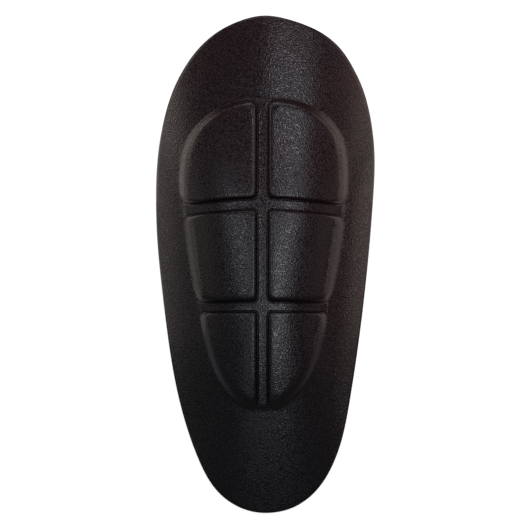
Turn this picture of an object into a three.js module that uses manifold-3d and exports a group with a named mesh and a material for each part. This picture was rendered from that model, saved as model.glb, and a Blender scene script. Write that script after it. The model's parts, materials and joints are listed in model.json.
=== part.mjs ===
// Hip pad: one moulded foam cup, long oval in plan, with six raised pods on its outer face.
// Millimetres. +Z points out of the convex face and +Y towards the broad end. The rim rests on z = 0.
import * as THREE from 'three';
import Module from 'manifold-3d';

// Whole pad
const padLength = 240;
const padWidth = 106.2;
const crownRise = 22; // from the top of the rim's edge to the middle of the outer face
const crownPower = 2.2; // 2 is a plain parabola, more is flatter in the middle and steeper at the rim
const endLift = 6; // how far both ends stand off the floor
const restLength = 110; // length of rim that lies on the floor along each side

// Foam wall and rim, measured straight down
const wallMiddle = 8;
const wallRim = 5.6;
const rimHeight = 2.5; // height of the rim's edge at its outermost line
const rimRound = 1.3; // rounding between the rim's edge and its flat
const rimFlat = 2.4; // width of the flat that the pad rests on

// Field of pods
const fieldLength = 149.3;
const fieldWidth = 80;
const fieldShift = 5.05; // middle of the field, towards the broad end
const spineShift = -1.3; // centre line of the long channel across the pad
const podHeight = 3;
const podSlope = 2.5; // width in plan of the field's outer wall
const channelSlope = 1.5; // width in plan of a channel's wall
const cornerSharpness = 18; // higher keeps the pods' corners squarer

// Channel floors
const spineFloorBroad = 4.6;
const spineFloorNarrow = 3.8;
const crossFloor = 4;

// Fineness
const outlinePoints = 84;
const podPoints = 52;

// Outline of the pad. turn: degrees from the middle towards the broad end. left and right: how far each
// side stands out there, as a share of a plain ellipse of the same length and width.
const padOutline = [
  { turn: -90, left: 1.139, right: 1.285 },
  { turn: -70, left: 1.097, right: 1.155 },
  { turn: -50, left: 0.979, right: 1.018 },
  { turn: -30, left: 0.937, right: 0.912 },
  { turn: -10, left: 0.939, right: 0.906 },
  { turn: 10, left: 1.011, right: 0.984 },
  { turn: 30, left: 1.112, right: 1.142 },
  { turn: 50, left: 1.202, right: 1.293 },
  { turn: 70, left: 1.225, right: 1.401 },
  { turn: 90, left: 1.039, right: 1.064 },
];

// Foot of the field's outer wall, in the same columns. slope: width of that wall as a share of podSlope.
const fieldOutline = [
  { turn: -90, left: 1.185, right: 1.323, slope: 2.0 },
  { turn: -70, left: 0.933, right: 0.972, slope: 1.95 },
  { turn: -50, left: 0.867, right: 0.909, slope: 1.8 },
  { turn: -30, left: 0.821, right: 0.85, slope: 1.45 },
  { turn: -10, left: 0.843, right: 0.872, slope: 1.2 },
  { turn: 10, left: 0.938, right: 0.982, slope: 1.05 },
  { turn: 30, left: 1.147, right: 1.176, slope: 1 },
  { turn: 50, left: 1.34, right: 1.451, slope: 1 },
  { turn: 70, left: 1.417, right: 1.745, slope: 1 },
  { turn: 90, left: 1.262, right: 2.137, slope: 1 },
];

// Cross channels. along: place from the field's middle as a share of its half length. bow: how far the
// channel falls towards the narrow end at the field's sides, as a share of the field's width.
const crossChannels = [
  { along: 0.322, bow: 0.043 },
  { along: -0.336, bow: 0.011 },
];
const bowPower = 1.6;

// Outer face from the rim to the middle, as shares of the way out.
const faceRings = [0.985, 0.95, 0.89, 0.81, 0.71, 0.6, 0.48, 0.35, 0.22, 0.1];

// Underside from the middle to the rim, as shares of the way out.
const underRings = [0.2, 0.4, 0.6, 0.77, 0.9];

// Rim from its flat to its outermost line. flat and round: inward place as shares of rimFlat and rimRound.
// up: height as a share of rimHeight.
const rimRings = [
  { flat: 1, round: 1, up: 0 },
  { flat: 0, round: 1, up: 0 },
  { flat: 0, round: 0.35, up: 0.2 },
  { flat: 0, round: 0, up: 0.65 },
  { flat: 0, round: 0.12, up: 1 },
];

// Section of a pod. inset: place in from the foot as a share of the wall's width. rise: height as a share
// of podHeight. close: share of the way from the edge to the pod's middle.
const podRings = [
  { inset: -0.35, rise: -0.45, close: 0 },
  { inset: 0.62, rise: 0.72, close: 0 },
  { inset: 0.92, rise: 0.93, close: 0 },
  { inset: 1.35, rise: 1, close: 0 },
  { inset: 1.35, rise: 1, close: 0.3 },
  { inset: 1.35, rise: 1, close: 0.62 },
];

const degree = Math.PI / 180;

// A smooth value from one column of an outline table
function column(rows, key, turn) {
  let i = 0;
  while (i < rows.length - 2 && turn > rows[i + 1].turn) i += 1;
  const steepness = (n) => {
    if (n === 0 || n === rows.length - 1) return 0;
    return (rows[n + 1][key] - rows[n - 1][key]) / (rows[n + 1].turn - rows[n - 1].turn);
  };
  const span = rows[i + 1].turn - rows[i].turn;
  const t = (turn - rows[i].turn) / span;
  const t2 = t * t;
  const t3 = t2 * t;
  return (2 * t3 - 3 * t2 + 1) * rows[i][key] + (t3 - 2 * t2 + t) * span * steepness(i)
    + (3 * t2 - 2 * t3) * rows[i + 1][key] + (t3 - t2) * span * steepness(i + 1);
}

// A closed line round an outline table, anticlockwise from the right side, moved inwards by inset
function outline(rows, width, length, count, inset) {
  const points = [];
  for (let i = 0; i < count; i += 1) {
    const angle = (i / count) * 360;
    const turn = Math.asin(Math.sin(angle * degree)) / degree;
    const side = Math.cos(angle * degree) < 0 ? 'left' : 'right';
    const x = (width / 2) * Math.cos(angle * degree) * column(rows, side, turn);
    points.push({ x, y: (length / 2) * Math.sin(angle * degree), turn });
  }
  return points.map((p, i) => {
    const before = points[(i + count - 1) % count];
    const after = points[(i + 1) % count];
    const size = Math.hypot(after.x - before.x, after.y - before.y);
    const depth = inset(p.turn);
    return {
      x: p.x - (depth * (after.y - before.y)) / size,
      y: p.y + (depth * (after.x - before.x)) / size,
    };
  });
}

// Distance from a place to a line of points, in one direction
function reach(from, direction, line, closed) {
  let nearest = Infinity;
  const last = closed ? line.length : line.length - 1;
  for (let i = 0; i < last; i += 1) {
    const a = line[i];
    const b = line[(i + 1) % line.length];
    const ex = b.x - a.x;
    const ey = b.y - a.y;
    const cross = direction.x * ey - direction.y * ex;
    if (Math.abs(cross) < 1e-9) continue;
    const along = ((a.x - from.x) * ey - (a.y - from.y) * ex) / cross;
    const share = ((a.x - from.x) * direction.y - (a.y - from.y) * direction.x) / cross;
    if (along > 0 && share >= -1e-6 && share <= 1 + 1e-6) nearest = Math.min(nearest, along);
  }
  return nearest;
}

// Height of the outer face with no pods on it
const rimLine = outline(padOutline, padWidth, padLength, 360, () => 0);

function lift(y) {
  const past = Math.max(0, Math.abs(y) - restLength / 2) / (padLength / 2 - restLength / 2);
  return endLift * past * past;
}

function shareOut(x, y) {
  const distance = Math.hypot(x, y);
  if (distance < 1e-6) return 0;
  const rim = reach({ x: 0, y: 0 }, { x: x / distance, y: y / distance }, rimLine, true);
  return Math.min(1, distance / rim);
}

function face(x, y) {
  return lift(y) + rimHeight + crownRise * (1 - shareOut(x, y) ** crownPower);
}

function underside(x, y) {
  const out = shareOut(x, y);
  return face(x, y) - wallMiddle + (wallMiddle - wallRim) * out * out;
}

// A closed body from one end point, equal rings and another end point
function closedBody(rings) {
  const vertices = [];
  rings.forEach((ring) => ring.forEach((p) => vertices.push(p.x, p.y, p.z)));
  const count = rings[1].length;
  const end = 1 + (rings.length - 2) * count;
  const triangles = [];
  for (let j = 0; j < count; j += 1) {
    const next = (j + 1) % count;
    triangles.push(0, 1 + next, 1 + j);
    for (let k = 0; k < rings.length - 3; k += 1) {
      const low = 1 + k * count;
      const high = low + count;
      triangles.push(low + j, low + next, high + next, low + j, high + next, high + j);
    }
    triangles.push(end - count + j, end - count + next, end);
  }
  return { vertices, triangles };
}

// The cup
const outer = outline(padOutline, padWidth, padLength, outlinePoints, () => 0);
const scaled = (share, height) => outer.map((p) => ({
  x: p.x * share,
  y: p.y * share,
  z: height(p.x * share, p.y * share),
}));
const rims = rimRings.map((row) => {
  const inset = row.flat * rimFlat + row.round * rimRound;
  const line = outline(padOutline, padWidth, padLength, outlinePoints, () => inset);
  return line.map((p) => ({ x: p.x, y: p.y, z: lift(p.y) + row.up * rimHeight }));
});
const cup = closedBody([
  [{ x: 0, y: 0, z: underside(0, 0) }],
  ...underRings.map((share) => scaled(share, underside)),
  ...rims,
  ...faceRings.map((share) => scaled(share, face)),
  [{ x: 0, y: 0, z: face(0, 0) }],
]);

// Centre lines and walls of the channels, moved out from the floor's edge by inset
function crossLine(channel, edge, inset) {
  const points = [];
  for (let i = 0; i <= 40; i += 1) {
    const x = (i / 20 - 1) * fieldWidth * 0.6;
    const fall = channel.bow * fieldWidth * (Math.abs(x) / (fieldWidth / 2)) ** bowPower;
    const y = fieldShift + (channel.along * fieldLength) / 2 - fall;
    points.push({ x: spineShift + x, y: y + edge * (crossFloor / 2 + inset) });
  }
  return points;
}

function spineLine(side, inset) {
  const ends = [[-1, spineFloorNarrow], [1, spineFloorBroad]];
  return ends.map(([end, floor]) => ({
    x: spineShift + side * (floor / 2 + inset),
    y: fieldShift + (end * fieldLength) / 2,
  }));
}

// One pod: side is -1 or 1 across the pad, row counts from the broad end
function pod(side, row) {
  const above = crossChannels[row - 1];
  const below = crossChannels[row];
  const high = above ? above.along : 1;
  const low = below ? below.along : -1;
  const y = fieldShift + ((high + low) / 2) * (fieldLength / 2);
  const foot = outline(fieldOutline, fieldWidth, fieldLength, 180, () => 0)
    .map((p) => ({ x: p.x + spineShift, y: p.y + fieldShift }));
  const width = reach({ x: spineShift, y }, { x: side, y: 0 }, foot, true);
  const middle = { x: spineShift + (side * width) / 2, y };

  const ring = (inset, directions) => {
    const slope = (turn) => inset * podSlope * column(fieldOutline, 'slope', turn);
    const field = outline(fieldOutline, fieldWidth, fieldLength, 180, slope)
      .map((p) => ({ x: p.x + spineShift, y: p.y + fieldShift }));
    const walls = [{ line: field, closed: true }];
    walls.push({ line: spineLine(side, inset * channelSlope), closed: false });
    if (above) walls.push({ line: crossLine(above, -1, inset * channelSlope), closed: false });
    if (below) walls.push({ line: crossLine(below, 1, inset * channelSlope), closed: false });
    return directions.map((d) => {
      const sum = walls.reduce((total, wall) => {
        const distance = reach(middle, d, wall.line, wall.closed);
        return total + distance ** -cornerSharpness;
      }, 0);
      const distance = sum ** (-1 / cornerSharpness);
      return { x: middle.x + d.x * distance, y: middle.y + d.y * distance };
    });
  };

  // Directions are closer together where the pod's outline turns
  const fine = [];
  for (let i = 0; i < 360; i += 1) fine.push({ x: Math.cos(i * degree), y: Math.sin(i * degree) });
  const trial = ring(0.6, fine);
  const weights = trial.map((p, i) => {
    const before = trial[(i + 359) % 360];
    const after = trial[(i + 1) % 360];
    const one = Math.atan2(p.y - before.y, p.x - before.x);
    const two = Math.atan2(after.y - p.y, after.x - p.x);
    const bend = Math.abs(Math.atan2(Math.sin(two - one), Math.cos(two - one)));
    return Math.hypot(after.x - p.x, after.y - p.y) / 130 + bend / 6;
  });
  const total = weights.reduce((a, b) => a + b, 0);
  const directions = [];
  let passed = 0;
  weights.forEach((weight, i) => {
    passed += weight;
    while (directions.length < podPoints && passed / total > (directions.length + 0.5) / podPoints) {
      const back = (passed - (total * (directions.length + 0.5)) / podPoints) / weight;
      const angle = (i + 1 - back) * degree;
      directions.push({ x: Math.cos(angle), y: Math.sin(angle) });
    }
  });

  const rings = podRings.map((level) => ring(level.inset, directions).map((p) => {
    const x = p.x + (middle.x - p.x) * level.close;
    const ySide = p.y + (middle.y - p.y) * level.close;
    return { x, y: ySide, z: face(x, ySide) + level.rise * podHeight };
  }));
  const sunk = podRings[0].rise * podHeight;
  return closedBody([
    [{ ...middle, z: face(middle.x, middle.y) + sunk }],
    ...rings,
    [{ ...middle, z: face(middle.x, middle.y) + podHeight }],
  ]);
}

const wasm = await Module();
wasm.setup();

function solid(body) {
  return new wasm.Manifold(new wasm.Mesh({
    numProp: 3,
    vertProperties: new Float32Array(body.vertices),
    triVerts: new Uint32Array(body.triangles),
  }));
}

let joined = solid(cup);
for (const side of [-1, 1]) {
  for (let row = 0; row <= crossChannels.length; row += 1) joined = joined.add(solid(pod(side, row)));
}
const result = joined.getMesh();

const geometry = new THREE.BufferGeometry();
geometry.setAttribute('position', new THREE.BufferAttribute(new Float32Array(result.vertProperties), 3));
geometry.setIndex(new THREE.BufferAttribute(new Uint32Array(result.triVerts), 1));
geometry.computeVertexNormals();

const foam = new THREE.MeshStandardMaterial({ name: 'foam', color: 0x1c1b1d, roughness: 0.55, metalness: 0 });
const pad = new THREE.Mesh(geometry, foam);
pad.name = 'pad';

const part = new THREE.Group();
part.name = 'hip_pad';
part.add(pad);

export default part;
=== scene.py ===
# %% [markdown]
# # A moulded hip pad
# The object is one pad of firm closed-cell foam. A flat foam blank is warmed and pressed between two
# halves of a mould, which gives it a long cupped shape, six raised pods on the outer face and a fine
# leather-like grain all over. We load the measured frame first. It fixes where the pad is and how big.

# %% Load the frame and keep its box
import json
import bpy
import bmesh
import numpy as np
from mathutils import Vector
from mathutils.geometry import delaunay_2d_cdt
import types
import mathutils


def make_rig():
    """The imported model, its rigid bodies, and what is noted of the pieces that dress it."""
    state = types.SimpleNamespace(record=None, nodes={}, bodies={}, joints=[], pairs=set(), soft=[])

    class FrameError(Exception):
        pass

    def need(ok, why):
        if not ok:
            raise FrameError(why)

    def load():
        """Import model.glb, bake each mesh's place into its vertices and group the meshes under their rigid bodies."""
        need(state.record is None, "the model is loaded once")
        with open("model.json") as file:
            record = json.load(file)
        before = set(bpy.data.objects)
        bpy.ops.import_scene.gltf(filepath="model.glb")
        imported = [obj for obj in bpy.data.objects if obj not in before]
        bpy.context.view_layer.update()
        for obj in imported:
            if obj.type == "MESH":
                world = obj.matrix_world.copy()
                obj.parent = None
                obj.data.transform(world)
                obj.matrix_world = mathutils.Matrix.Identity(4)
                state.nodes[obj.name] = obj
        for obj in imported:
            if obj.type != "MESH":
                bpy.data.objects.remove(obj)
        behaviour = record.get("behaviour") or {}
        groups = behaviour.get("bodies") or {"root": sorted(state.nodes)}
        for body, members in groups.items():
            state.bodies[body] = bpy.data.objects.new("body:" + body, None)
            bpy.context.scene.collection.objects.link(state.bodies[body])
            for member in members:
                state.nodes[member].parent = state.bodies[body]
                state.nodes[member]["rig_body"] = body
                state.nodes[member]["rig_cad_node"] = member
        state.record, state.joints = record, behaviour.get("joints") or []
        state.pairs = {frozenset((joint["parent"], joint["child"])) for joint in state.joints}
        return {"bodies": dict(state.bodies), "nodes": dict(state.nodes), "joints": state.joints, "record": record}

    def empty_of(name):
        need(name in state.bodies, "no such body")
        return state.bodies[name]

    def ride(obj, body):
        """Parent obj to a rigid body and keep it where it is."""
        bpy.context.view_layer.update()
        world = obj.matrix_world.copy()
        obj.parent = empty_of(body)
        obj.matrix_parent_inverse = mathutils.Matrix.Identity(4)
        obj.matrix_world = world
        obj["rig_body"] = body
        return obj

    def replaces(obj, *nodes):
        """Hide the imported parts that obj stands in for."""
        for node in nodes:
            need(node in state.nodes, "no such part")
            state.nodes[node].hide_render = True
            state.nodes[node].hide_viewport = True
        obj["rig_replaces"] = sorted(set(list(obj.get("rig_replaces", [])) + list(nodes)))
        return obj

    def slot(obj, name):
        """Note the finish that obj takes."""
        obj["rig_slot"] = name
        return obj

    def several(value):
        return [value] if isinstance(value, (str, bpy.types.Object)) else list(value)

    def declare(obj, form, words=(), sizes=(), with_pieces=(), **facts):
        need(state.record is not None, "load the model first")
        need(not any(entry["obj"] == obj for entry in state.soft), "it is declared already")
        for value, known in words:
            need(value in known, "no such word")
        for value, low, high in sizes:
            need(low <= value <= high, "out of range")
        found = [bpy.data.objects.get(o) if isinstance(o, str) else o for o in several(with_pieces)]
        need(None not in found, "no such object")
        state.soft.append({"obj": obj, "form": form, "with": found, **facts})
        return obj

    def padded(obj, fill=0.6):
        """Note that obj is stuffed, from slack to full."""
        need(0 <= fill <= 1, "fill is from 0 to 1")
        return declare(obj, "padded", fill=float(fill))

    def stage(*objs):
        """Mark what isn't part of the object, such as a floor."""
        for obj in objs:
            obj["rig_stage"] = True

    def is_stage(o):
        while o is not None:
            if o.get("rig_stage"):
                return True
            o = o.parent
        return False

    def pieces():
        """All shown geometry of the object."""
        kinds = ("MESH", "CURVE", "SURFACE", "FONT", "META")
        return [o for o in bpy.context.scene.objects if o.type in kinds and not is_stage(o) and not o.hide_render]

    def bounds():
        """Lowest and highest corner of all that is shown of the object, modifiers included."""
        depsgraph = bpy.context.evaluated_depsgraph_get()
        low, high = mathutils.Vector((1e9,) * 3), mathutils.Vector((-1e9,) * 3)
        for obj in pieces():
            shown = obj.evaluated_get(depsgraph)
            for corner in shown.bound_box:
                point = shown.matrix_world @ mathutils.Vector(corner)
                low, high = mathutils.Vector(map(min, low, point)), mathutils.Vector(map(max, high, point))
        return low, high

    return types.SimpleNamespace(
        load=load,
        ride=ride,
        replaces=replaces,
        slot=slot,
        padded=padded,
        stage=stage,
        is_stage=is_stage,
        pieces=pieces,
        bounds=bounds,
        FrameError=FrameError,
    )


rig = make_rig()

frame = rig.load()
frame_box = [list(corner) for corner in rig.bounds()]
print(len(frame["nodes"]), "node in the frame, box in metres:", frame_box)

# %% [markdown]
# ## Camera
# The photograph looks straight down on the pad, with the broad end up. A long lens from over a metre away
# keeps the outline free of perspective. The pad is a little off the middle of the picture, so the camera
# stands a little to the side of it, too.

# %% Put the camera straight above
CAMERA_HEIGHT = 1.2
PICTURE_WIDTH = 0.2553  # metres of floor across the picture
PAD_OFF_MIDDLE = (0.00117, -0.00061)
SENSOR_WIDTH = 36

camera_data = bpy.data.cameras.new("above")
camera_data.sensor_width = SENSOR_WIDTH
camera_data.lens = SENSOR_WIDTH * CAMERA_HEIGHT / PICTURE_WIDTH
camera = bpy.data.objects.new("above", camera_data)
camera.location = (-PAD_OFF_MIDDLE[0], -PAD_OFF_MIDDLE[1], CAMERA_HEIGHT)
bpy.context.scene.collection.objects.link(camera)
bpy.context.scene.camera = camera
print("lens", round(camera_data.lens, 1), "mm")

# %% [markdown]
# ## Sizes
# All sizes are in millimetres, as a mould maker would write them. They become metres only when the mesh
# is made. The length is the frame's own, and the others are measured against it.

# %% Sizes of the pad
MM = 0.001
PAD_LENGTH = round((frame_box[1][1] - frame_box[0][1]) / MM, 1)
PAD_WIDTH = 106.2  # of the plain ellipse that the outline starts from
CROWN_RISE = 22  # from the edge of the rim to the middle of the outer face
CROWN_POWER = 2.2  # 2 is a parabola, more is flatter in the middle and steeper at the rim
END_LIFT = 6  # both ends stand a little off the floor
REST_LENGTH = 110  # length of rim that lies on the floor along each side
WALL_MIDDLE = 8  # thickness of the foam in the middle
WALL_RIM = 5.6  # and at the rim
RIM_HEIGHT = 2.5  # of the edge where the outer face ends
print("pad", PAD_LENGTH, "mm long, wall", WALL_MIDDLE, "to", WALL_RIM, "mm")

# %% [markdown]
# ## Two outlines
# The pad and its field of pods are both long ovals, but neither is a true ellipse, and the two sides
# differ. A short table says how far each side stands out from a plain ellipse at ten places between the
# narrow end (turn -90) and the broad end (turn 90). A smooth curve runs through them.

# %% Outline tables
PAD_OUTLINE = [
    {"turn": -90, "left": 1.139, "right": 1.285},
    {"turn": -70, "left": 1.097, "right": 1.155},
    {"turn": -50, "left": 0.979, "right": 1.018},
    {"turn": -30, "left": 0.937, "right": 0.912},
    {"turn": -10, "left": 0.939, "right": 0.906},
    {"turn": 10, "left": 1.011, "right": 0.984},
    {"turn": 30, "left": 1.112, "right": 1.142},
    {"turn": 50, "left": 1.202, "right": 1.293},
    {"turn": 70, "left": 1.225, "right": 1.401},
    {"turn": 90, "left": 1.039, "right": 1.064},
]
# wall_left, wall_right: width of the field's outer wall as a share of its full width
FIELD_OUTLINE = [
    {"turn": -90, "left": 1.185, "right": 1.323, "wall_left": 0.95, "wall_right": 1},
    {"turn": -70, "left": 0.933, "right": 0.972, "wall_left": 0.95, "wall_right": 1},
    {"turn": -50, "left": 0.867, "right": 0.909, "wall_left": 0.8, "wall_right": 0.95},
    {"turn": -30, "left": 0.821, "right": 0.85, "wall_left": 0.8, "wall_right": 1},
    {"turn": -10, "left": 0.843, "right": 0.872, "wall_left": 0.92, "wall_right": 1},
    {"turn": 10, "left": 0.938, "right": 0.982, "wall_left": 0.9, "wall_right": 1},
    {"turn": 30, "left": 1.147, "right": 1.176, "wall_left": 0.75, "wall_right": 0.92},
    {"turn": 50, "left": 1.34, "right": 1.451, "wall_left": 0.6, "wall_right": 0.72},
    {"turn": 70, "left": 1.417, "right": 1.745, "wall_left": 0.5, "wall_right": 0.65},
    {"turn": 90, "left": 1.262, "right": 2.137, "wall_left": 0.5, "wall_right": 0.6},
]
print(len(PAD_OUTLINE), "rows for the pad,", len(FIELD_OUTLINE), "for the field of pods")

# %% [markdown]
# A closed line of points is all we need from an outline: the rim, the field's wall and every ring between
# them are such lines, and moving a line inwards gives the next one.

# %% From a table to a closed line of points
OUTLINE_STEPS = 720  # points on a fine outline


def column(rows, key, turn):
    """A smooth curve through one column of a table."""
    at = np.array([row["turn"] for row in rows], float)
    value = np.array([row[key] for row in rows], float)
    steep = np.zeros(len(rows))
    steep[1:-1] = (value[2:] - value[:-2]) / (at[2:] - at[:-2])
    i = np.clip(np.searchsorted(at, turn, side="right") - 1, 0, len(rows) - 2)
    span = at[i + 1] - at[i]
    t = (turn - at[i]) / span
    start = (2 * t**3 - 3 * t**2 + 1) * value[i] + (t**3 - 2 * t**2 + t) * span * steep[i]
    return start + (3 * t**2 - 2 * t**3) * value[i + 1] + (t**3 - t**2) * span * steep[i + 1]


def by_side(rows, left, right, angle):
    """A table's left column on the left side, its right column on the right side."""
    turn = np.degrees(np.arcsin(np.sin(angle)))
    return np.where(np.cos(angle) < 0, column(rows, left, turn), column(rows, right, turn))


def outline(rows, width, length, count, inset):
    """A closed line of points, moved inwards by inset, one value or one for each point."""
    angle = np.arange(count) / count * 2 * np.pi
    share = by_side(rows, "left", "right", angle)
    line = np.stack([width / 2 * np.cos(angle) * share, length / 2 * np.sin(angle)], 1)
    along = np.roll(line, -1, 0) - np.roll(line, 1, 0)
    along /= np.linalg.norm(along, axis=1, keepdims=True)
    inwards = np.stack([-along[:, 1], along[:, 0]], 1)
    return line + inwards * np.broadcast_to(inset, count)[:, None]


def length_of(line):
    """Length of a closed line."""
    return float(np.linalg.norm(np.roll(line, -1, 0) - line, axis=1).sum())


rim_line = outline(PAD_OUTLINE, PAD_WIDTH, PAD_LENGTH, OUTLINE_STEPS, 0)
print("length round the rim:", round(length_of(rim_line)), "mm")

# %% [markdown]
# ## The cupped form
# The outer face is a long low dome. Its height at any place follows from how far out that place is on the
# way to the rim, so we need the distance to the rim in every direction. The same helper finds the walls of
# the pods later.

# %% Distance to a line, in every direction
FULL_TURN = 2880  # directions that are measured in a full turn
NO_CROSSING = 1e-9  # stands for the nought of two lines that run side by side
ON_LINE = 1e-6  # how far past its ends a line still counts


def reach(start, directions, line, closed=True):
    """Distance from start to a line of points, in each of many directions."""
    a = line if closed else line[:-1]
    edge = (np.roll(line, -1, 0) if closed else line[1:]) - a
    off = a - start
    cross = directions[:, None, 0] * edge[None, :, 1] - directions[:, None, 1] * edge[None, :, 0]
    cross = np.where(np.abs(cross) < NO_CROSSING, NO_CROSSING, cross)
    distance = (off[:, 0] * edge[:, 1] - off[:, 1] * edge[:, 0])[None, :] / cross
    share = (off[None, :, 0] * directions[:, None, 1] - off[None, :, 1] * directions[:, None, 0]) / cross
    hit = (distance > ON_LINE) & (share >= -ON_LINE) & (share <= 1 + ON_LINE)
    return np.where(hit, distance, np.inf).min(1)


def round_about(count):
    """Even directions all the way round."""
    angle = np.arange(count) / count * 2 * np.pi
    return np.stack([np.cos(angle), np.sin(angle)], 1)


def reach_towards(off, reaches):
    """The reach in the direction of each offset, from even reaches all the way round."""
    place = np.arctan2(off[:, 1], off[:, 0]) % (2 * np.pi) / (2 * np.pi) * len(reaches)
    return np.interp(place, np.arange(len(reaches) + 1), np.append(reaches, reaches[0]))


rim_reach = reach(np.zeros(2), round_about(FULL_TURN), rim_line)
print("rim", round(float(rim_reach.min())), "to", round(float(rim_reach.max())), "mm from the middle")

# %% Height of the outer face and of the underside
HOLLOW_EASE = 0.16  # how softly the hollow runs into the flat of the rim


def share_out(p):
    """How far out a place is: 0 in the middle, 1 at the rim."""
    return np.minimum(1, np.hypot(p[:, 0], p[:, 1]) / reach_towards(p, rim_reach))


def lift(p):
    """Height of the rim off the floor."""
    past = np.maximum(0, np.abs(p[:, 1]) - REST_LENGTH / 2) / (PAD_LENGTH / 2 - REST_LENGTH / 2)
    return END_LIFT * past**2


def face(p):
    """Height of the outer face, without its pods."""
    return lift(p) + RIM_HEIGHT + CROWN_RISE * (1 - share_out(p) ** CROWN_POWER)


def underside(p):
    """The hollow follows the outer face one wall below it, and eases into the flat of the rim."""
    out = share_out(p)
    above_flat = face(p) - lift(p) - WALL_MIDDLE + (WALL_MIDDLE - WALL_RIM) * out**2
    return lift(p) + 0.5 * (above_flat + np.sqrt(above_flat**2 + HOLLOW_EASE))


middle = np.zeros((1, 2))
print("crown at", float(face(middle)[0]), "mm, hollow", round(float(underside(middle)[0]), 1), "mm")

# %% [markdown]
# ## Plan of the pods
# Six pods stand on the face in two columns and three rows. Each is bounded by the field's outer wall, by
# the long channel, which we call the spine, and by one or two cross channels. A cube could be cut and
# bevelled for each, but their walls follow curved lines on a curved face, so the points are placed in code.
# We look out from the middle of a pod. The nearest wall in each direction gives its outline, and a soft
# choice between two near walls rounds the corners. A cross channel's upper wall is wider or narrower than
# its lower one, which the table gives as shares. The floors of the channels lie a little higher than the
# border, and end in a low soft step at the field's outline.

# %% Sizes of the pods and channels
FIELD_LENGTH = 149.3
FIELD_WIDTH = 80
FIELD_SHIFT = 5.05  # of the field towards the broad end
POD_HEIGHT = 3
POD_SLOPE = 2.5  # full width of the outer wall
CHANNEL_SLOPE = 1.7  # width of a channel's wall
SPINE_SHIFT = -1.45  # of the long channel and the field to the left
SPINE_FLOOR_BROAD = 4.9  # width of the long channel's floor at the broad end
SPINE_FLOOR_NARROW = 4.3
CROSS_CHANNELS = [
    {"along": 0.317, "bow": 0.043, "floor": 4.8, "upper": 1.0, "lower": 0.62},
    {"along": -0.339, "bow": 0.011, "floor": 4.2, "upper": 1.45, "lower": 0.6},
]
BOW_POWER = 1.6  # how late a cross channel bends away from straight
print("field", FIELD_LENGTH, "by", FIELD_WIDTH, "mm, pods", POD_HEIGHT, "mm high")

# %% Lines along the walls
CROSS_STEPS = 81
CROSS_REACH = 0.6  # of the field's width, to each side of the spine
SPINE_REACH = 1.3  # of half the field's length, to each end


def channel_middle(channel, x):
    """Where the middle of a cross channel lies along the pad, x to the side of the spine."""
    fall = channel["bow"] * FIELD_WIDTH * (np.abs(x) / (FIELD_WIDTH / 2)) ** BOW_POWER
    return FIELD_SHIFT + channel["along"] * FIELD_LENGTH / 2 - fall


def cross_line(channel, edge, out):
    """The upper or lower wall of a cross channel, out from the edge of its floor."""
    x = np.linspace(-1, 1, CROSS_STEPS) * FIELD_WIDTH * CROSS_REACH
    y = channel_middle(channel, x)
    return np.stack([SPINE_SHIFT + x, y + edge * (channel["floor"] / 2 + out)], 1)


def spine_line(side, out):
    """The left or right wall of the long channel, out from the edge of its floor."""
    ends = []
    for end in (-SPINE_REACH, SPINE_REACH):
        width = (SPINE_FLOOR_BROAD + SPINE_FLOOR_NARROW) / 2
        width += (SPINE_FLOOR_BROAD - SPINE_FLOOR_NARROW) / 2 * end
        ends.append((SPINE_SHIFT + side * (width / 2 + out), FIELD_SHIFT + end * FIELD_LENGTH / 2))
    return np.array(ends)


def field_line(inset):
    """The field's outer wall, inset by a share of its width."""
    angle = np.arange(OUTLINE_STEPS) / OUTLINE_STEPS * 2 * np.pi
    wall = POD_SLOPE * by_side(FIELD_OUTLINE, "wall_left", "wall_right", angle)
    line = outline(FIELD_OUTLINE, FIELD_WIDTH, FIELD_LENGTH, OUTLINE_STEPS, inset * wall)
    return line + np.array([SPINE_SHIFT, FIELD_SHIFT])


print("length round the field:", round(length_of(field_line(0))), "mm")

# %% Height of the channels' floors
FLOOR_RISE = 0.7
STEP_WIDTH = 2.6  # of the soft step where a channel runs out into the border
STEP_END = 0.5  # how far past the field's outline that step ends

field_middle = np.array([SPINE_SHIFT, FIELD_SHIFT])
field_reach = reach(field_middle, round_about(FULL_TURN), field_line(0))


def past_field(p):
    """Distance outwards from the field's outline, negative inside."""
    off = p[:, :2] - field_middle
    return np.hypot(off[:, 0], off[:, 1]) - reach_towards(off, field_reach)


def floor_rise(p):
    """Height of the channels' floors over the border, down to nothing at the field's outline."""
    t = np.clip((STEP_END - past_field(p)) / STEP_WIDTH, 0, 1)
    return FLOOR_RISE * t**2 * (3 - 2 * t)


print("floor of the spine", round(float(floor_rise(field_middle[None])[0]), 2), "mm over the border")

# %% Outline of one pod
CORNER_SHARPNESS = 18.0
OUTER_SHARPNESS = 10.0  # of the corners at the field's outer wall, which are rounder
POD_POINTS = 168
PROBE_DIRECTIONS = 1440
PROBE_INSET = 0.6  # where on the wall the even steps are measured
BEND_STEPS = 9  # radians of bend that get as many points as a whole pod's length


def channel_wall(inset, width=1):
    """Distance from the edge of a channel's floor. The crease in the floor is as wide at every wall."""
    return inset * CHANNEL_SLOPE * (width if inset > 0 else 1)


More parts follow.
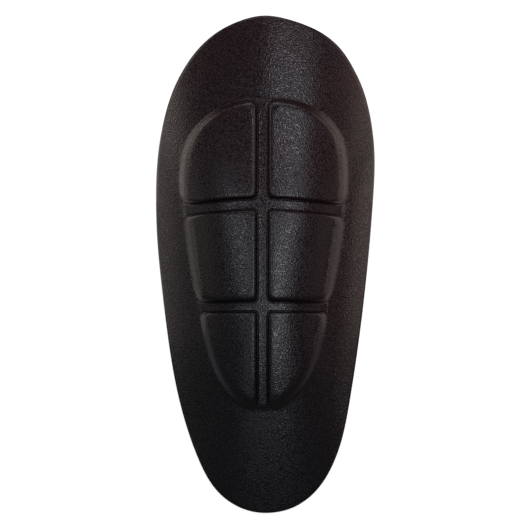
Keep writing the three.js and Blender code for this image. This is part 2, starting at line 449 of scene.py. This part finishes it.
def pod_ring(pod, inset, directions):
    """The pod's outline, inset by a share of its walls' width, and how much of a channel's each point is."""
    reaches = [reach(pod["middle"], directions, field_line(inset))]
    spine = spine_line(pod["side"], channel_wall(inset))
    reaches.append(reach(pod["middle"], directions, spine, False))
    for edge, key, channel in ((-1, "lower", pod["above"]), (1, "upper", pod["below"])):
        if channel:
            wall = cross_line(channel, edge, channel_wall(inset, channel[key]))
            reaches.append(reach(pod["middle"], directions, wall, False))
    # nearness grows as a wall comes closer, and is 0 where no channel is seen
    to_channel = (np.stack(reaches[1:]) ** -CORNER_SHARPNESS).sum(0)
    near_channel = to_channel ** (OUTER_SHARPNESS / CORNER_SHARPNESS)
    near = np.stack([reaches[0] ** -OUTER_SHARPNESS, near_channel])
    distance = near.sum(0) ** (-1 / OUTER_SHARPNESS)
    return pod["middle"] + directions * distance[:, None], near[1] / near.sum(0)


def pod_directions(pod):
    """Directions that give even steps round the pod, and closer ones at its corners."""
    line, _ = pod_ring(pod, PROBE_INSET, round_about(PROBE_DIRECTIONS))
    step = np.roll(line, -1, 0) - line
    heading = np.arctan2(step[:, 1], step[:, 0])
    bend = np.abs((heading - np.roll(heading, 1) + np.pi) % (2 * np.pi) - np.pi)
    weight = np.linalg.norm(step, axis=1) / length_of(line) + bend / BEND_STEPS
    passed = np.concatenate([[0], np.cumsum(weight)])
    places = (np.arange(POD_POINTS) + 0.5) / POD_POINTS * passed[-1]
    turn = np.interp(places, passed, np.arange(PROBE_DIRECTIONS + 1))
    angle = turn / PROBE_DIRECTIONS * 2 * np.pi
    return np.stack([np.cos(angle), np.sin(angle)], 1)


print("a channel's wall is", channel_wall(1), "mm wide")

# %% The six pods
pods = []
for side in (-1, 1):
    for row in range(3):
        above = CROSS_CHANNELS[row - 1] if row > 0 else None
        below = CROSS_CHANNELS[row] if row < 2 else None
        high = above["along"] if above else 1
        low = below["along"] if below else -1
        y = FIELD_SHIFT + (high + low) / 2 * FIELD_LENGTH / 2
        wide = reach(np.array([SPINE_SHIFT, y]), np.array([[side, 0.0]]), field_line(0))[0]
        pod = {"side": side, "above": above, "below": below}
        pod["middle"] = np.array([SPINE_SHIFT + side * wide / 2, y])
        pod["directions"] = pod_directions(pod)
        pods.append(pod)
print(len(pods), "pods, middles at", [pod["middle"].round(1).tolist() for pod in pods])

# %% [markdown]
# ## Section of a pod
# A moulded edge is never sharp. On the outer side the wall swells softly out of the face. Along a channel
# it is steep, and the floor dips into a fine crease at its foot, which draws a dark line along both sides of
# the strip between two pods. The table follows the section inwards: height of the outer wall and of the
# channel wall in millimetres, at each share of the wall's width. It starts outside the wall, with the
# crease, and ends well past it, where the top is level.

# %% Section through the walls
SECTION_HEIGHT = 3  # height of pod that the table is drawn for
POD_SECTION = [
    {"inset": -0.50, "outer": 0.00, "channel": 0.00},
    {"inset": -0.36, "outer": 0.02, "channel": 0.00},
    {"inset": -0.28, "outer": 0.05, "channel": -0.04},
    {"inset": -0.20, "outer": 0.10, "channel": -0.20},
    {"inset": -0.12, "outer": 0.17, "channel": -0.38},
    {"inset": -0.03, "outer": 0.28, "channel": -0.44},
    {"inset": 0.06, "outer": 0.42, "channel": -0.30},
    {"inset": 0.16, "outer": 0.60, "channel": 0.16},
    {"inset": 0.30, "outer": 0.87, "channel": 0.86},
    {"inset": 0.45, "outer": 1.16, "channel": 1.55},
    {"inset": 0.60, "outer": 1.44, "channel": 2.14},
    {"inset": 0.76, "outer": 1.70, "channel": 2.55},
    {"inset": 0.92, "outer": 1.95, "channel": 2.76},
    {"inset": 1.08, "outer": 2.17, "channel": 2.87},
    {"inset": 1.28, "outer": 2.41, "channel": 2.94},
    {"inset": 1.55, "outer": 2.66, "channel": 2.98},
    {"inset": 1.85, "outer": 2.86, "channel": 3.00},
    {"inset": 2.20, "outer": 3.00, "channel": 3.00},
]
print("deepest crease", min(level["channel"] for level in POD_SECTION), "mm")

# %% Rings of each pod
HALF_WAY = 0.5  # across the wall, where we see which wall a point is on


def raised(flat, height):
    """Flat places with their height beside them."""
    return np.column_stack([flat, height])


for pod in pods:
    pod["rings"] = []
    _, at_channel = pod_ring(pod, HALF_WAY, pod["directions"])
    for level in POD_SECTION:
        line, _ = pod_ring(pod, level["inset"], pod["directions"])
        relief = level["outer"] * (1 - at_channel) + level["channel"] * at_channel
        rise = floor_rise(line) * at_channel * (1 - max(0, level["channel"]) / SECTION_HEIGHT)
        pod["rings"].append(raised(line, face(line) + relief * POD_HEIGHT / SECTION_HEIGHT + rise))
print(len(POD_SECTION), "rings of", POD_POINTS, "points round each pod")

# %% [markdown]
# ## Filling the smooth areas
# Between the rings lie smooth areas: the pods' tops, the border and the channel floors. We fill them with
# even triangles. A honeycomb of points is laid over each area and a Delaunay triangulation joins them to
# the rings, which are kept as fixed edges.

# %% Fill helpers
ROW_SHARE = 0.866  # rows of a honeycomb lie closer than its columns, by half the root of three
CHUNK = 64  # points of a line that are measured at once
SAME_PLACE = 1e-7


def inside(p, polygon):
    """Which of the places are inside a closed line."""
    found = np.zeros(len(p), bool)
    for a, b in zip(polygon, np.roll(polygon, -1, 0)):
        crossing = (a[1] > p[:, 1]) != (b[1] > p[:, 1])
        height = b[1] - a[1] if b[1] != a[1] else 1  # a level edge is never crossed
        found ^= crossing & (p[:, 0] < (b[0] - a[0]) * (p[:, 1] - a[1]) / height + a[0])
    return found


def honeycomb(spacing):
    """Places in staggered rows over the whole pad."""
    rows = np.arange(-PAD_LENGTH / 2, PAD_LENGTH / 2, spacing * ROW_SHARE)
    columns = np.arange(-PAD_WIDTH / 2, PAD_WIDTH / 2, spacing)
    places = [(x + (i % 2) * spacing / 2, y) for i, y in enumerate(rows) for x in columns]
    return np.array(places)


def clear_of(p, lines, gap):
    """Keeps the places that are at least gap away from every point of the lines."""
    keep = np.ones(len(p), bool)
    for line in lines:
        for chunk in np.array_split(line[:, :2], max(1, len(line) // CHUNK)):
            off = p[:, None, :2] - chunk[None, :, :]
            keep &= (off**2).sum(2).min(1) > gap**2
    return p[keep]


def triangulate(loops, extra):
    """Joins loops and extra places by triangles, and gives each triangle's three places."""
    places = np.concatenate([loop[:, :2] for loop in loops] + [extra[:, :2]])
    edges = []
    first = 0
    for loop in loops:
        n = len(loop)
        edges += [(first + i, first + (i + 1) % n) for i in range(n)]
        first += n
    flat = [Vector(p) for p in places]
    _, _, faces, origin, _, _ = delaunay_2d_cdt(flat, edges, [], 0, SAME_PLACE)
    return np.array([[origin[corner][0] for corner in face] for face in faces])


print(len(honeycomb(10)), "places in a honeycomb of 10 mm")

# %% [markdown]
# The floor of a channel is a strip that is faintly dished, which fades where the channel runs out into the
# border. We lay a line of points along each channel's middle for it.

# %% Strips along the channels
STRIP_STEP = 1.1
SPINE_STRIP = 0.55  # of the field's length, to each end
CROSS_STRIP = 0.56  # of the field's width, to each side
STRIP_DISH = 0.14
DISH_END = 3  # how far past the field's outline the dish is gone
DISH_FADE = 4  # over how long a way it fades

ends = np.arange(-SPINE_STRIP, SPINE_STRIP, STRIP_STEP / FIELD_LENGTH) * FIELD_LENGTH
strip_lines = [np.stack([np.full(len(ends), SPINE_SHIFT), FIELD_SHIFT + ends], 1)]
for channel in CROSS_CHANNELS:
    x = np.arange(-CROSS_STRIP, CROSS_STRIP, STRIP_STEP / FIELD_WIDTH) * FIELD_WIDTH
    x = x[np.abs(x) > STRIP_STEP]
    strip_lines.append(np.stack([SPINE_SHIFT + x, channel_middle(channel, x)], 1))
strips = np.concatenate(strip_lines)
dish = STRIP_DISH * np.clip((DISH_END - past_field(strips)) / DISH_FADE, 0, 1)
print(len(strips), "places along the middles of", len(strip_lines), "channels")

# %% Honeycomb over the outer face
TOP_SPACING = 1.7
TOP_GAP = 0.55 * TOP_SPACING
RIM_POINTS = 480
RIM_START = 1.6  # where the smooth face ends and the rounding of the rim begins

rim_start = outline(PAD_OUTLINE, PAD_WIDTH, PAD_LENGTH, RIM_POINTS, RIM_START)
feet = [pod["rings"][0] for pod in pods]
tops = [pod["rings"][-1] for pod in pods]
grid = honeycomb(TOP_SPACING)
grid = grid[inside(grid, rim_start)]
in_wall = np.zeros(len(grid), bool)
on_pod = np.zeros(len(grid), bool)
for foot, top in zip(feet, tops):
    in_top = inside(grid, top)
    in_wall |= inside(grid, foot) & ~in_top
    on_pod |= in_top
grid = np.column_stack([grid, on_pod])[~in_wall]
grid = clear_of(grid, [rim_start, strips] + feet + tops, TOP_GAP)
floors = (1 - grid[:, 2]) * floor_rise(grid)
print(len(grid), "places in the honeycomb,", int(grid[:, 2].sum()), "of them on pods")

# %% Triangles of the outer face
loops = [raised(rim_start, face(rim_start))] + feet + tops
extra = np.concatenate([
    raised(grid[:, :2], face(grid[:, :2]) + grid[:, 2] * POD_HEIGHT + floors),
    raised(strips, face(strips) - dish + floor_rise(strips)),
])
top_places = np.concatenate(loops + [extra])
top_triangles = triangulate(loops, extra)
centres = top_places[top_triangles][:, :, :2].mean(1)
keep = inside(centres, rim_start)
for foot, top in zip(feet, tops):
    keep &= ~(inside(centres, foot) & ~inside(centres, top))
top_triangles = top_triangles[keep]
print(len(top_places), "places and", len(top_triangles), "triangles on the outer face")

# %% [markdown]
# ## Rim and hollow
# The foam is trimmed to a soft edge. Its section runs from the outer face over a small rounding, down and
# under to the narrow flat that the pad rests on. The hollow inside is a plain smooth cup.

# %% Rings of the rim
RIM_ROUND = 1.3  # of the lower edge
RIM_FLAT = 2.4
# inset, and drop from the outer face
RIM_OVER = [
    (RIM_START, 0), (1.25, 0.01), (0.9, 0.05), (0.6, 0.12), (0.35, 0.26), (0.15, 0.48), (0.03, 0.8),
]
# inset, and height over the flat
RIM_UNDER = [
    (0, RIM_ROUND), (0.08, 0.88), (0.28, 0.48), (0.58, 0.2), (0.95, 0.05), (RIM_ROUND, 0), (2.5, 0),
]
HOLLOW_START = RIM_ROUND + RIM_FLAT


def rim_ring(inset):
    """The pad's outline, moved inwards."""
    return outline(PAD_OUTLINE, PAD_WIDTH, PAD_LENGTH, RIM_POINTS, inset)


rim_rings = [raised(rim_ring(inset), face(rim_ring(inset)) - drop) for inset, drop in RIM_OVER]
rim_rings += [raised(rim_ring(inset), lift(rim_ring(inset)) + up) for inset, up in RIM_UNDER]
hollow_loop = raised(rim_ring(HOLLOW_START), underside(rim_ring(HOLLOW_START)))
rim_rings.append(hollow_loop)
print(len(rim_rings), "rings of", RIM_POINTS, "points on the rim")

# %% Underside
HOLLOW_SPACING = 3.0
HOLLOW_GAP = 0.6 * HOLLOW_SPACING

grid = honeycomb(HOLLOW_SPACING)
grid = clear_of(grid[inside(grid, hollow_loop)], [hollow_loop], HOLLOW_GAP)
hollow_places = np.concatenate([hollow_loop, raised(grid, underside(grid))])
hollow_triangles = triangulate([hollow_loop], grid)
centres = hollow_places[hollow_triangles][:, :, :2].mean(1)
hollow_triangles = hollow_triangles[inside(centres, hollow_loop)]
print(len(hollow_triangles), "triangles in the hollow")

# %% [markdown]
# ## One closed skin
# All the pieces of surface share their edge points, so once they are in one mesh the doubles are merged and
# the skin is closed.

# %% Mesh helpers
MERGE_DISTANCE = 1e-6


def add_rings(mesh, rings):
    """Quads between each ring of points and the next."""
    rows = [[mesh.verts.new(Vector(p) * MM) for p in ring] for ring in rings]
    for one, two in zip(rows, rows[1:]):
        for i in range(len(one)):
            j = (i + 1) % len(one)
            mesh.faces.new((one[i], one[j], two[j], two[i]))


def add_triangles(mesh, places, triangles, reverse=False):
    """Triangles between places. Places that none of them uses are left out."""
    verts = [mesh.verts.new(Vector(p) * MM) for p in places]
    for corners in triangles:
        order = corners[::-1] if reverse else corners
        mesh.faces.new([verts[c] for c in order])
    for vert in verts:
        if not vert.link_faces:
            mesh.verts.remove(vert)


print("doubles closer than", MERGE_DISTANCE, "m will be merged")

# %% Join everything into the pad
skin = bmesh.new()
add_triangles(skin, top_places, top_triangles)
for pod in pods:
    add_rings(skin, pod["rings"])
add_rings(skin, rim_rings[::-1])
add_triangles(skin, hollow_places, hollow_triangles, reverse=True)
bmesh.ops.remove_doubles(skin, verts=skin.verts, dist=MERGE_DISTANCE)
bmesh.ops.recalc_face_normals(skin, faces=skin.faces)
open_edges = sum(1 for edge in skin.edges if len(edge.link_faces) != 2)
for polygon in skin.faces:
    polygon.smooth = True

pad_mesh = bpy.data.meshes.new("moulded_pad")
skin.to_mesh(pad_mesh)
skin.free()
pad = bpy.data.objects.new("moulded_pad", pad_mesh)
bpy.context.scene.collection.objects.link(pad)
triangle_count = sum(len(polygon.vertices) - 2 for polygon in pad_mesh.polygons)
print("the pad has", triangle_count, "triangles and", open_edges, "open edges")

# %% [markdown]
# ## Foam skin
# Closed-cell EVA foam pressed in a textured mould. The mould leaves a black skin with shallow pebbles well
# under a millimetre wide, like fine leather. Their tops are polished by the mould and by handling while the
# pits between them stay rough, so the eye sees a soft sheen broken into small bright specks. Black foam also
# takes on a faint red cast with age, here in patches that grow towards the broad end and the right side.

# %% Material helpers


def linear(colour):
    """A hex sRGB colour as linear red, green, blue and alpha."""
    parts = [int(colour[i : i + 2], 16) / 255 for i in (1, 3, 5)]
    return [p / 12.92 if p <= 0.04045 else ((p + 0.055) / 1.055) ** 2.4 for p in parts] + [1]


def add_node(tree, kind, settings=None, inputs=None, links=None):
    """Adds a node, sets it, fills its inputs and links other nodes' outputs to it."""
    node = tree.nodes.new(kind)
    for name, value in (settings or {}).items():
        setattr(node, name, value)
    for name, value in (inputs or {}).items():
        node.inputs[name].default_value = value
    for name, output in (links or {}).items():
        tree.links.new(output, node.inputs[name])
    return node


print("mid grey is", round(linear("#808080")[0], 3), "in linear light")

# %% Moulded EVA foam: grain
GRAIN_WIDTH = 0.66  # millimetres from one pebble to the next
GRAIN_DEPTH = 0.10  # millimetres
PIT_LEVEL = 0.43  # height in the noise below which the foam is as rough as a pit
TOP_LEVEL = 0.58  # and above which it is as polished as a top
PIT_ROUGHNESS = 0.40
TOP_ROUGHNESS = 0.14

foam = bpy.data.materials.new("moulded_eva_foam")
foam.use_nodes = True
tree = foam.node_tree
tree.nodes.clear()
place = add_node(tree, "ShaderNodeTexCoord").outputs["Object"]
grain = add_node(
    tree, "ShaderNodeTexNoise", None, {"Scale": 1000 / GRAIN_WIDTH, "Detail": 0.0}, {"Vector": place}
)
bump = add_node(
    tree, "ShaderNodeBump", None,
    {"Strength": 1.0, "Distance": GRAIN_DEPTH * MM}, {"Height": grain.outputs["Fac"]},
)
polish = add_node(
    tree, "ShaderNodeMapRange", {"interpolation_type": "SMOOTHSTEP"},
    {"From Min": PIT_LEVEL, "From Max": TOP_LEVEL, "To Min": PIT_ROUGHNESS, "To Max": TOP_ROUGHNESS},
    {"Value": grain.outputs["Fac"]},
)
print("grain", GRAIN_WIDTH, "mm wide and", GRAIN_DEPTH, "mm deep")

# %% [markdown]
# The red cast is a second colour, mixed in by two masks that are multiplied: one grows steadily across the
# pad in the direction of ageing, the other is a cloud of wide, soft patches.

# %% Moulded EVA foam: colour
FOAM_BLACK = "#0e0c11"
AGED_FOAM = "#2c0c13"
CLOUD_WIDTH = 38  # millimetres from one patch to the next
AGEING_WAY = (1.0, 0.6, 0.0)  # to the right and to the broad end
AGEING_START = -0.06  # metres along that way
AGEING_END = 0.14
CLOUD_LEVELS = (0.3, 0.7)  # in the noise, between which a patch grows
PATCH_SHARES = (0.5, 1.3)  # of the ageing, in the faintest and the strongest patch

cloud = add_node(
    tree, "ShaderNodeTexNoise", None, {"Scale": 1000 / CLOUD_WIDTH, "Detail": 3.0}, {"Vector": place}
)
slant = add_node(
    tree, "ShaderNodeVectorMath", {"operation": "DOT_PRODUCT"}, {1: AGEING_WAY}, {0: place}
)
ageing = add_node(
    tree, "ShaderNodeMapRange", {"interpolation_type": "SMOOTHSTEP"},
    {"From Min": AGEING_START, "From Max": AGEING_END, "To Min": 0.0, "To Max": 1.0},
    {"Value": slant.outputs["Value"]},
)
patches = add_node(
    tree, "ShaderNodeMapRange", None,
    {
        "From Min": CLOUD_LEVELS[0], "From Max": CLOUD_LEVELS[1],
        "To Min": PATCH_SHARES[0], "To Max": PATCH_SHARES[1],
    },
    {"Value": cloud.outputs["Fac"]},
)
redness = add_node(
    tree, "ShaderNodeMath", {"operation": "MULTIPLY"}, None,
    {0: ageing.outputs["Result"], 1: patches.outputs["Result"]},
)
colour = add_node(
    tree, "ShaderNodeMix", {"data_type": "RGBA"}, {"A": linear(FOAM_BLACK), "B": linear(AGED_FOAM)},
    {"Factor": redness.outputs[0]},
)
print("black", FOAM_BLACK, "ageing to", AGED_FOAM)

# %% Moulded EVA foam: surface
FOAM_IOR = 1.5

surface = add_node(
    tree, "ShaderNodeBsdfPrincipled", None, {"IOR": FOAM_IOR, "Metallic": 0.0, "Specular IOR Level": 0.5},
    {
        "Base Color": colour.outputs["Result"],
        "Roughness": polish.outputs["Result"],
        "Normal": bump.outputs["Normal"],
    },
)
add_node(tree, "ShaderNodeOutputMaterial", None, None, {"Surface": surface.outputs["BSDF"]})
pad_mesh.materials.append(foam)
print(foam.name, "has", len(tree.nodes), "nodes")

# %% [markdown]
# ## Floor and light
# The pad lies on a white table that glows a little itself, as a light table does, so the picture's ground is
# pure white without washing out the black foam. Shiny black foam is a poor mirror, but still a mirror: a
# white table all round would draw a bright line along every wall of the pods. So the table is hidden from
# reflections, and a few faint cards that lie beside the pad stand in for it where the walls should catch a
# soft light. Small lights round the camera draw the bright streaks down the middle of the face, and larger,
# warmer ones at both sides light the flanks. All are hidden from the camera, so that none stands in its way.

# %% White floor
TABLE_SIZE = 6  # metres
TABLE_WHITE = "#f2f2f2"
TABLE_ROUGHNESS = 0.9
TABLE_GLOW = 0.8

bpy.ops.object.select_all(action="DESELECT")
bpy.ops.mesh.primitive_plane_add(size=TABLE_SIZE, location=(0, 0, 0))
floor = bpy.context.object
floor.name = "floor"
paper = bpy.data.materials.new("white_paper_floor")
paper.use_nodes = True
paper_sockets = paper.node_tree.nodes["Principled BSDF"].inputs
paper_sockets["Base Color"].default_value = linear(TABLE_WHITE)
paper_sockets["Roughness"].default_value = TABLE_ROUGHNESS
paper_sockets["Emission Color"].default_value = linear("#ffffff")
paper_sockets["Emission Strength"].default_value = TABLE_GLOW
floor.data.materials.append(paper)
floor.visible_glossy = False
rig.stage(floor)
print("floor", tuple(round(v, 2) for v in floor.dimensions))

# %% [markdown]
# A light is easiest to place by two angles, as on a globe round the pad: how far it is turned from the right
# side, and how high it stands over the table.

# %% Light helpers
COOL = "#f2f5ff"
WARM = "#fff0e6"


def on_globe(distance, turn, up):
    """A place at a distance from the pad, by its turn and its height in degrees."""
    turn, up = np.radians([turn, up])
    return Vector((np.cos(turn) * np.cos(up), np.sin(turn) * np.cos(up), np.sin(up))) * distance


def add_light(name, at, away, size, colour, watts):
    """An area light that shines against the direction away."""
    lamp = bpy.data.lights.new(name, "AREA")
    lamp.shape = "RECTANGLE"
    lamp.size, lamp.size_y = size
    lamp.color = linear(colour)[:3]
    lamp.energy = watts
    holder = bpy.data.objects.new(name, lamp)
    holder.location = at
    holder.rotation_mode = "QUATERNION"
    holder.rotation_quaternion = Vector(away).to_track_quat("Z", "Y")
    holder.visible_camera = False
    bpy.context.scene.collection.objects.link(holder)


print("light colours", COOL, "and", WARM)

# %% Lights over the pad and beyond it
OVERHEAD_DISTANCE = 1.0
OVERHEAD_SIZE = (0.16, 0.22)
OVERHEAD = [
    {"name": "over_right", "turn": 8.5, "up": 77, "watts": 0.56},
    {"name": "over_right_wide", "turn": 24.5, "up": 71.5, "watts": 0.22},
    {"name": "over_right_far", "turn": 64.5, "up": 61.5, "watts": 0.64},
    {"name": "over_right_near", "turn": -56.5, "up": 75.5, "watts": 0.61},
    {"name": "over_left", "turn": 169.5, "up": 74, "watts": 0.46},
    {"name": "over_left_wide", "turn": 156.5, "up": 62, "watts": 0.10},
    {"name": "over_left_near", "turn": -113.5, "up": 70.5, "watts": 0.12},
]
BEYOND_DISTANCE = 1.2
BEYOND_SIZE = (0.8, 0.4)
BEYOND_UP = 25
BEYOND_WATTS = 2.18

for row in OVERHEAD:
    at = on_globe(OVERHEAD_DISTANCE, row["turn"], row["up"])
    add_light(row["name"], at, at, OVERHEAD_SIZE, COOL, row["watts"])
at = on_globe(BEYOND_DISTANCE, 90, BEYOND_UP)
add_light("beyond", at, at, BEYOND_SIZE, COOL, BEYOND_WATTS)
print(len(OVERHEAD) + 1, "cool lights")

# %% Lights at the sides
SIDE_DISTANCE = 1.3
SIDE_SIZE = (0.4, 0.4)
LOW_SIZE = (0.4, 0.18)
SIDES = [
    {"name": "high_left", "turn": 180, "up": 36, "size": SIDE_SIZE, "watts": 0.25},
    {"name": "high_right", "turn": 0, "up": 36, "size": SIDE_SIZE, "watts": 0.22},
    {"name": "side_left", "turn": 180, "up": 12, "size": SIDE_SIZE, "watts": 0.18},
    {"name": "side_left_far", "turn": 158, "up": 12, "size": SIDE_SIZE, "watts": 1.24},
    {"name": "side_right_far", "turn": 22, "up": 12, "size": SIDE_SIZE, "watts": 0.83},
    {"name": "side_left_high", "turn": 158, "up": 22, "size": SIDE_SIZE, "watts": 0.23},
    {"name": "side_right_high", "turn": 22, "up": 22, "size": SIDE_SIZE, "watts": 0.19},
    {"name": "beyond_left", "turn": 138, "up": 12, "size": SIDE_SIZE, "watts": 1.27},
    {"name": "beyond_right", "turn": 42, "up": 12, "size": SIDE_SIZE, "watts": 0.39},
    {"name": "beyond_right_high", "turn": 42, "up": 26, "size": SIDE_SIZE, "watts": 0.55},
    {"name": "low_left", "turn": 180, "up": 4.4, "size": LOW_SIZE, "watts": 0.34},
    {"name": "low_right", "turn": 0, "up": 4.4, "size": LOW_SIZE, "watts": 0.52},
    {"name": "low_right_far", "turn": 22, "up": 4.4, "size": LOW_SIZE, "watts": 0.27},
]

for row in SIDES:
    at = on_globe(SIDE_DISTANCE, row["turn"], row["up"])
    add_light(row["name"], at, at, row["size"], WARM, row["watts"])
print(len(SIDES), "warm lights")

# %% Cards that shine up from the table
CARDS = [
    {"name": "card_left", "side": -1, "along": 0.075, "length": 0.09, "colour": WARM, "watts": 0.037},
    {"name": "card_left_middle", "side": -1, "along": -0.005, "length": 0.07, "colour": WARM, "watts": 0.015},
    {"name": "card_left_narrow", "side": -1, "along": -0.08, "length": 0.08, "colour": COOL, "watts": 0.007},
    {"name": "card_right", "side": 1, "along": 0.075, "length": 0.09, "colour": WARM, "watts": 0.028},
    {"name": "card_right_middle", "side": 1, "along": -0.005, "length": 0.07, "colour": WARM, "watts": 0.014},
    {"name": "card_right_narrow", "side": 1, "along": -0.08, "length": 0.08, "colour": WARM, "watts": 0.006},
]
CARD_PLACE = 0.10  # metres from the middle of the table to each side
CARD_WIDTH = 0.10
CARD_HEIGHT = 0.002  # over the table
DOWN = (0, 0, -1)

for row in CARDS:
    at = (row["side"] * CARD_PLACE, row["along"], CARD_HEIGHT)
    add_light(row["name"], at, DOWN, (CARD_WIDTH, row["length"]), row["colour"], row["watts"])
print(len(CARDS), "cards")

# %% Room light
ROOM_GLOW = 0.081

world = bpy.data.worlds.new("studio")
bpy.context.scene.world = world
world.use_nodes = True
room_sockets = world.node_tree.nodes["Background"].inputs
room_sockets["Color"].default_value = linear("#ffffff")
room_sockets["Strength"].default_value = ROOM_GLOW
bpy.context.scene.view_settings.view_transform = "Standard"
print("room light", ROOM_GLOW)

# %% [markdown]
# ## Hand over
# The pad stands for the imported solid, takes its foam slot and rides on the one body. It is declared as a
# padded piece, full and firm, because moulded foam keeps its form.

# %% Bind the pad to the frame
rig.ride(pad, "root")
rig.replaces(pad, "pad")
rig.slot(pad, "foam")
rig.padded(pad, fill=1.0)

# %% Write the sizes and finish
json.dump(
    {"cad": frame_box, "visual": [list(corner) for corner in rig.bounds()]},
    open("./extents.json", "w"),
)
print(open("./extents.json").read())
